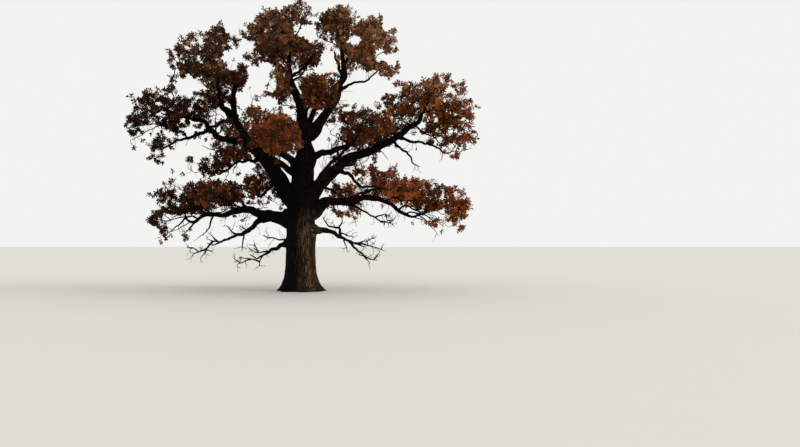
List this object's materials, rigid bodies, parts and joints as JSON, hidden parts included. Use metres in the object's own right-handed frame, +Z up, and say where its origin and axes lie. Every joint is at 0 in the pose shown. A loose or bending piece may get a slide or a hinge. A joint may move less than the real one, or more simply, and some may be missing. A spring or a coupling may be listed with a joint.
{
  "type": "oak tree",
  "caption": "Spreading old oak in late autumn: stout buttressed trunk, forked boughs carrying separate masses of russet leaves, and bare dead limbs below.",
  "frame": {"origin": "on the ground, in the middle of the trunk's flat cut", "axes": "+Z up the trunk; +X to the right across the widest spread of the crown, as seen from the front; +Y through the tree to its back"},
  "size_m": [18.1317, 13.7598, 14.6836],
  "materials": {
    "bark": "rough grey-brown bark with deep upright furrows, darker and greener on the left",
    "foliage": "dry russet-brown oak leaves on dark twigs",
    "bare_twigs": "dull grey-brown dead twigs"
  },
  "bodies": {
    "root": {"trunk": "bark", "left_leader": "bark", "centre_leader": "bark", "right_bough": "bark", "right_low_bough": "bark", "left_low_bough": "bark", "front_bough": "bark", "front_right_bough": "bark", "back_left_bough": "bark", "back_right_bough": "bark", "left_upper_limb": "bark", "left_bough": "bark", "left_droop_limb": "bark", "left_mid_limb": "bark", "left_inner_limb": "bark", "right_stem": "bark", "elbow_limb": "bark", "right_inner_limb": "bark", "right_drop_limb": "bark", "right_under_limb": "bark", "left_dead_bough": "bark", "left_bare_limb": "bark", "left_snag": "bark", "right_bare_bough": "bark", "right_dead_limb": "bark", "far_left_mass": "foliage", "left_droop_mass": "foliage", "upper_left_mass": "foliage", "left_crook_mass": "foliage", "left_mid_mass": "foliage", "low_left_mass": "foliage", "left_inner_mass": "foliage", "front_left_mass": "foliage", "inner_left_mass": "foliage", "front_centre_mass": "foliage", "top_left_mass": "foliage", "top_centre_mass": "foliage", "back_top_mass": "foliage", "crown_right_mass": "foliage", "right_shoulder_mass": "foliage", "right_elbow_mass": "foliage", "right_inner_mass": "foliage", "far_right_mass": "foliage", "right_under_mass": "foliage", "low_right_mass": "foliage", "low_right_inner_mass": "foliage", "right_trunk_mass": "foliage", "front_right_mass": "foliage", "back_left_mass": "foliage", "back_right_mass": "foliage", "back_low_left_mass": "foliage", "back_low_right_mass": "foliage", "front_low_left_mass": "foliage", "front_low_right_mass": "foliage", "left_dead_twigs": "bare_twigs", "left_bare_twigs": "bare_twigs", "right_bare_twigs": "bare_twigs", "right_dead_twigs": "bare_twigs"}
  },
  "joints": []
}
